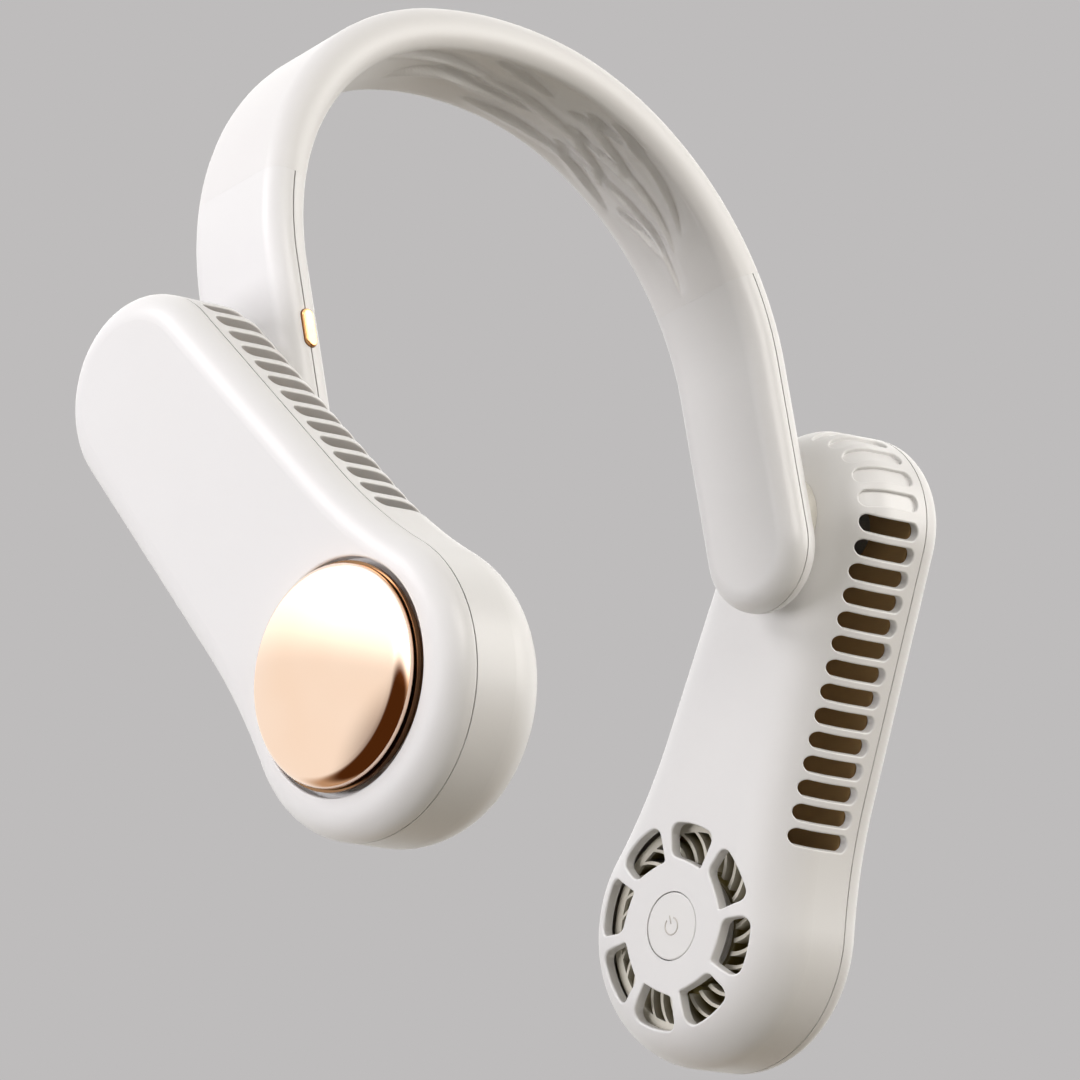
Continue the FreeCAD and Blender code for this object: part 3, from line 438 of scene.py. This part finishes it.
# Battery: a pouch cell behind each duct plate, in heat-sealed aluminium laminate. The laminate is
# crinkled and cloudy, with a dull metal shine.
crinkle_mm = 5
cloud_mm = 9
pouch, pouch_shader = new_material("aluminium_pouch_laminate")
pouch_where = add_node(pouch, "ShaderNodeTexCoord").outputs["Object"]
crinkle = add_node(pouch, "ShaderNodeTexVoronoi",
                   {"Vector": pouch_where, "Scale": per_metre(crinkle_mm)},
                   feature="DISTANCE_TO_EDGE")
cloud = add_node(pouch, "ShaderNodeTexNoise",
                 {"Vector": pouch_where, "Scale": per_metre(cloud_mm), "Detail": 3.0})
foil = add_node(pouch, "ShaderNodeMix",
                {"Factor": cloud.outputs["Fac"], "A": linear("#b4b6b9"), "B": linear("#cdced0")},
                data_type="RGBA")
join(pouch, foil.outputs["Result"], pouch_shader, "Base Color")
pouch_bump = add_node(pouch, "ShaderNodeBump",
                      {"Height": crinkle.outputs["Distance"], "Strength": 0.3, "Distance": 0.0002})
join(pouch, pouch_bump.outputs["Normal"], pouch_shader, "Normal")
pouch_shader.inputs["Metallic"].default_value = 0.9
pouch_shader.inputs["Roughness"].default_value = 0.38
dress(pouch, *both("battery"))

# Motor: a stack of core laminations round a sintered bronze bearing, inside a drawn steel cup. The
# stack shows its sheets as dark lines, and the bronze has an even fine grain.
core = lined_metal("laminated_core_steel", "#6b6866", "#3c3a39", roughness=0.45,
                   grain_mm=(0.35, 20, 20))
dress(core, *both("stator"))
bronze = lined_metal("sintered_bronze", "#b98752", "#8f6236", roughness=0.42,
                     grain_mm=(0.25, 0.25, 0.25))
dress(bronze, *both("motor_bearing"))

# Impeller: a blower wheel of off-white ABS with thirty swept blades, pressed on the motor's cup.
# Deeper in the wheel, towards the plate that carries the blades, its colour turns olive as painted
# shade, which fades out up the blades.
wheel_abs = moulded_plastic("impeller_abs", "#e6e2d6", "#dbd6c8", roughness=0.42,
                            grain_mm=0.5, grain_depth=0.00003)
wheel_shader = wheel_abs.node_tree.nodes["Principled BSDF"]
unshaded_wheel_tone = wheel_shader.inputs["Base Color"].links[0].from_socket
wheel_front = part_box("right_impeller")[0][0]
wheel_where = add_node(wheel_abs, "ShaderNodeTexCoord").outputs["Object"]
wheel_x = add_node(wheel_abs, "ShaderNodeSeparateXYZ", {"Vector": wheel_where}).outputs["X"]
wheel_depth = add_node(wheel_abs, "ShaderNodeMath", {0: wheel_x}, operation="ABSOLUTE")
# Painted shade: the colour turns olive over the first 3 mm behind the blades' intake edges, deeper
# into the wheel.
painted_shade_ramp = add_node(wheel_abs, "ShaderNodeMapRange",
                 {"Value": wheel_depth.outputs["Value"], "From Min": wheel_front + 0.0004,
                  "From Max": wheel_front + 0.003})
shaded_wheel_tone = add_node(wheel_abs, "ShaderNodeMix",
                   {"Factor": painted_shade_ramp.outputs["Result"], "A": unshaded_wheel_tone, "B": linear("#94854c")},
                   data_type="RGBA")
join(wheel_abs, shaded_wheel_tone.outputs["Result"], wheel_shader, "Base Color")
dress(wheel_abs, *both("impeller"))

# Charging socket: a folded steel shell, nickel plated, in the edge of the right pod. The folding
# has left short lines round it.
nickel = lined_metal("nickel_plated_shell", "#c9c6c0", "#b3afa8", roughness=0.24,
                     grain_mm=(0.3, 4, 4))
dress(nickel, "charging_socket")

# Power button: the hub of the right pod's intake ring, a plain disc of satin ABS on a switch. The
# sign on it is the common ring-and-bar sign for power, a shallow raised line in grey ABS.
button_abs = moulded_plastic("button_abs_satin", "#f3f2f1", "#eeedeb", roughness=0.4,
                             grain_mm=0.35, grain_depth=0.00002)
dress(button_abs, "power_button", "button_board")
hub_low, hub_high = (Vector(corner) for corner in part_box("power_button"))
hub = (hub_low + hub_high) / 2
hub.x = hub_low.x
sign_radius = 0.0017
sign_wire = 0.00016
sign_gap = math.radians(32)
sign_bar = 0.0017
sign_bar_rise = 0.0013
deselect()
bpy.ops.mesh.primitive_torus_add(major_radius=sign_radius, minor_radius=sign_wire,
                                 major_segments=64, minor_segments=12, location=hub,
                                 rotation=(0, math.radians(90), 0))
power_sign = bpy.context.object
power_sign.name = "power_sign"
bpy.ops.object.transform_apply(location=True, rotation=True, scale=True)
select_verts(power_sign.data,
             lambda co: abs(math.atan2(co.y - hub.y, co.z - hub.z)) < sign_gap)
edit(lambda: bpy.ops.mesh.delete(type="VERT"),
     lambda: bpy.ops.mesh.select_all(action="DESELECT"),
     lambda: bpy.ops.mesh.select_non_manifold(),
     lambda: bpy.ops.mesh.edge_face_add())
deselect()
bpy.ops.mesh.primitive_cylinder_add(vertices=12, radius=sign_wire, depth=sign_bar,
                                    location=hub + Vector((0, 0, sign_bar_rise)))
edit(lambda: bpy.ops.mesh.select_all(action="SELECT"),
     lambda: bpy.ops.mesh.bevel(offset=0.00006, segments=2))
bpy.ops.object.transform_apply(location=True, rotation=True, scale=True)
power_sign.select_set(True)
bpy.context.view_layer.objects.active = power_sign
bpy.ops.object.join()
bpy.ops.object.shade_smooth_by_angle(angle=math.radians(50))
sign_abs = moulded_plastic("sign_grey_abs", "#c9c5bf", "#c3beb8", roughness=0.4,
                           grain_mm=0.35, grain_depth=0.00001)
power_sign.data.materials.append(sign_abs)
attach(power_sign, "power_button")

# Dome seats and domes: each pod's outer face has a round recess, and in it a plated seat carries a
# polished dome of champagne gold over ABS. The dome stands clear of its seat by a shadow gap.
bronze_plating = plated("bronze_plating", "#a07c5c", "#8c6a4c", roughness=0.2)
dress(bronze_plating, *both("dome_seat"))
champagne = plated("champagne_gold_plating", "#f7dfcc", "#f3d5bd", roughness=0.07)
dome_radius = 0.0195
dome_top = 0.10242
dome_height = 0.0057
face_radius = 0.0576
edge_radius = 0.003
neck_radius = 0.0183
face_steps = 24
edge_steps = 16
round_steps = 160
face_turn = math.asin((dome_radius - edge_radius) / (face_radius - edge_radius))
edge_rise = (face_radius - edge_radius) * math.cos(face_turn) - face_radius

# Half of the dome's section, from its top: the shallow face, the rolled edge, the side and the flat
# underside, each point as its distance from the axis and its rise.
profile = []
for k in range(1, face_steps + 1):
    lean = face_turn * k / face_steps
    profile.append((face_radius * math.sin(lean), face_radius * (math.cos(lean) - 1)))
for k in range(1, edge_steps + 1):
    lean = face_turn + (math.pi / 2 - face_turn) * k / edge_steps
    profile.append((dome_radius - edge_radius * (1 - math.sin(lean)),
                    edge_rise + edge_radius * math.cos(lean)))
profile += [(dome_radius, -dome_height), (neck_radius, -dome_height), (0, -dome_height)]
for name, side, y, z in (("left_dome", -1, -0.04165, -0.14924),
                         ("right_dome", 1, 0.04589, -0.14649)):
    deselect()
    bpy.ops.mesh.primitive_plane_add(size=0.001, location=(side * dome_top, y, z))
    dome = bpy.context.object
    dome.name = name
    bpy.ops.object.transform_apply(location=True, rotation=True, scale=True)
    bpy.ops.object.mode_set(mode="EDIT")
    bpy.ops.mesh.merge(type="CENTER")
    last_reach, last_rise = 0, 0
    for reach, rise in profile:
        step = (side * (rise - last_rise), 0, reach - last_reach)
        bpy.ops.mesh.extrude_region_move(TRANSFORM_OT_translate={"value": step})
        last_reach, last_rise = reach, rise
    bpy.ops.mesh.select_all(action="SELECT")
    bpy.ops.mesh.spin(steps=round_steps, angle=2 * math.pi, center=(0, y, z), axis=(1, 0, 0))
    bpy.ops.mesh.select_all(action="SELECT")
    bpy.ops.mesh.remove_doubles(threshold=0.000002)
    bpy.ops.mesh.normals_make_consistent(inside=False)
    bpy.ops.object.mode_set(mode="OBJECT")
    bpy.ops.object.shade_smooth_by_angle(angle=math.radians(40))
    dome.data.materials.append(champagne)
    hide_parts(name + "_cap")
    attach(dome, name.replace("_dome", "_pod"))

# Studio: the camera at the photograph's viewing angle, a pale paper backdrop and floor, and four
# soft boxes round the object. Polished metal mirrors pale paper, a bright ceiling and a brown card.
image_pixels = 1080
focal_pixels = 7363.63
sensor_mm = 36.0
view_turn = math.radians(-46.22)
view_rise = math.radians(-19.97)
view_roll = math.radians(-9.19)
view_distance = 1.42409
aim = Vector((0.03913, 0.03585, -0.075645))
camera_data = bpy.data.cameras.new("photo_camera")
camera_data.sensor_width = sensor_mm
camera_data.lens = sensor_mm * focal_pixels / image_pixels
camera_data.clip_end = 20.0
camera = bpy.data.objects.new("photo_camera", camera_data)
bpy.context.scene.collection.objects.link(camera)
back = Vector((math.sin(view_turn) * math.cos(view_rise),
               -math.cos(view_turn) * math.cos(view_rise), math.sin(view_rise)))
level = (-back).cross(Vector((0, 0, 1))).normalized()
upright = level.cross(-back)
right = level * math.cos(view_roll) + upright * math.sin(view_roll)
up = upright * math.cos(view_roll) - level * math.sin(view_roll)
stand = Matrix((right, up, back)).transposed().to_4x4()
stand.translation = aim + back * view_distance
camera.matrix_world = stand
bpy.context.scene.camera = camera

# The backdrop is what the camera sees, a weak fill lights the object, and mirrors see the rest.
backdrop_tone = linear("#bebcbc")
ceiling_side = (0.104, -0.458, 0.883)
card_side = (-0.5, -0.16, -0.85)
world = bpy.data.worlds.new("studio")
world.use_nodes = True
bpy.context.scene.world = world
backdrop = world.node_tree.nodes["Background"]
backdrop.inputs["Color"].default_value = backdrop_tone
fill = add_node(world, "ShaderNodeBackground", {"Color": linear("#cfccc1"), "Strength": 0.16})
ahead = add_node(world, "ShaderNodeTexCoord").outputs["Generated"]
height = add_node(world, "ShaderNodeSeparateXYZ", {"Vector": ahead}).outputs["Z"]
low = add_node(world, "ShaderNodeMapRange",
               {"Value": height, "From Min": -0.45, "From Max": -0.1, "To Min": 1.0, "To Max": 0.0},
               interpolation_type="SMOOTHSTEP")
paper_tone = add_node(world, "ShaderNodeMix",
                      {"Factor": low.outputs["Result"], "A": linear("#fffdfa"),
                       "B": linear("#bda084")}, data_type="RGBA")
to_ceiling = add_node(world, "ShaderNodeVectorMath", {0: ahead, 1: ceiling_side},
                      operation="DOT_PRODUCT")
ceiling = add_node(world, "ShaderNodeMapRange",
                   {"Value": to_ceiling.outputs["Value"], "From Min": -0.06, "From Max": 0.2,
                    "To Min": 1.05, "To Max": 2.0}, interpolation_type="SMOOTHSTEP")
to_card = add_node(world, "ShaderNodeVectorMath", {0: ahead, 1: card_side}, operation="DOT_PRODUCT")
card = add_node(world, "ShaderNodeMapRange",
                {"Value": to_card.outputs["Value"], "From Min": 0.3, "From Max": 0.6,
                 "To Min": 0.0, "To Max": 1.0}, interpolation_type="SMOOTHSTEP")
mirrored_tone = add_node(world, "ShaderNodeMix",
                         {"Factor": card.outputs["Result"], "A": paper_tone.outputs["Result"],
                          "B": linear("#4c2a10")}, data_type="RGBA")
mirrored = add_node(world, "ShaderNodeBackground",
                    {"Color": mirrored_tone.outputs["Result"],
                     "Strength": ceiling.outputs["Result"]})
rays = add_node(world, "ShaderNodeLightPath")
unseen = add_node(world, "ShaderNodeMixShader",
                  {0: rays.outputs["Is Glossy Ray"], 1: fill.outputs["Background"],
                   2: mirrored.outputs["Background"]})
seen = add_node(world, "ShaderNodeMath",
                {0: rays.outputs["Is Camera Ray"], 1: rays.outputs["Is Transmission Ray"]},
                use_clamp=True)
sky = add_node(world, "ShaderNodeMixShader",
               {0: seen.outputs["Value"], 1: unseen.outputs["Shader"],
                2: backdrop.outputs["Background"]})
world.node_tree.links.new(sky.outputs["Shader"],
                          world.node_tree.nodes["World Output"].inputs["Surface"])


def softbox(name, place, width, height, watts, colour):
    # A soft box at this place, turned to the middle of the object and out of the camera's sight.
    middle = Vector((0, 0, -0.08))
    light = bpy.data.lights.new(name, "AREA")
    light.shape = "RECTANGLE"
    light.size = width
    light.size_y = height
    light.energy = watts
    light.color = linear(colour)[:3]
    lamp = bpy.data.objects.new(name, light)
    bpy.context.scene.collection.objects.link(lamp)
    lamp.location = place
    lamp.visible_camera = False
    lamp.rotation_euler = (middle - Vector(place)).to_track_quat("-Z", "Y").to_euler()
    return lamp


softbox("key_softbox", (-0.74, 0.25, 0.54), 0.42, 0.42, watts=3.0, colour="#fdfbff")
softbox("front_softbox", (-0.12, -0.95, 0.22), 0.45, 0.45, watts=3.8, colour="#fffbf6")
softbox("right_softbox", (0.7, -0.7, 0.08), 0.4, 0.6, watts=3.7, colour="#fffbf6")
side_lamp = softbox("side_softbox", (-0.98, 0.12, -0.12), 0.4, 0.4, watts=4.8, colour="#fdfbff")
side_lamp.visible_glossy = False

# The floor is a wide sheet of the same paper, well below the object, and the camera sees it about
# as bright as the backdrop.
floor_z = -0.8
floor_glow = 0.75
deselect()
bpy.ops.mesh.primitive_plane_add(size=60, location=(0, 0, floor_z))
floor = bpy.context.object
floor.name = "floor"
bpy.ops.object.transform_apply(location=True, rotation=True, scale=True)
paper, paper_shader = new_material("floor_paper")
paper_shader.inputs["Base Color"].default_value = linear("#c4c1b7")
paper_shader.inputs["Roughness"].default_value = 0.8
paper_shader.inputs["Emission Color"].default_value = backdrop_tone
seen_directly = add_node(paper, "ShaderNodeLightPath").outputs["Is Camera Ray"]
glow = add_node(paper, "ShaderNodeMath", {0: seen_directly, 1: floor_glow}, operation="MULTIPLY")
join(paper, glow.outputs["Value"], paper_shader, "Emission Strength")
floor.data.materials.append(paper)
floor.visible_glossy = False

bpy.context.scene.view_settings.view_transform = "Standard"
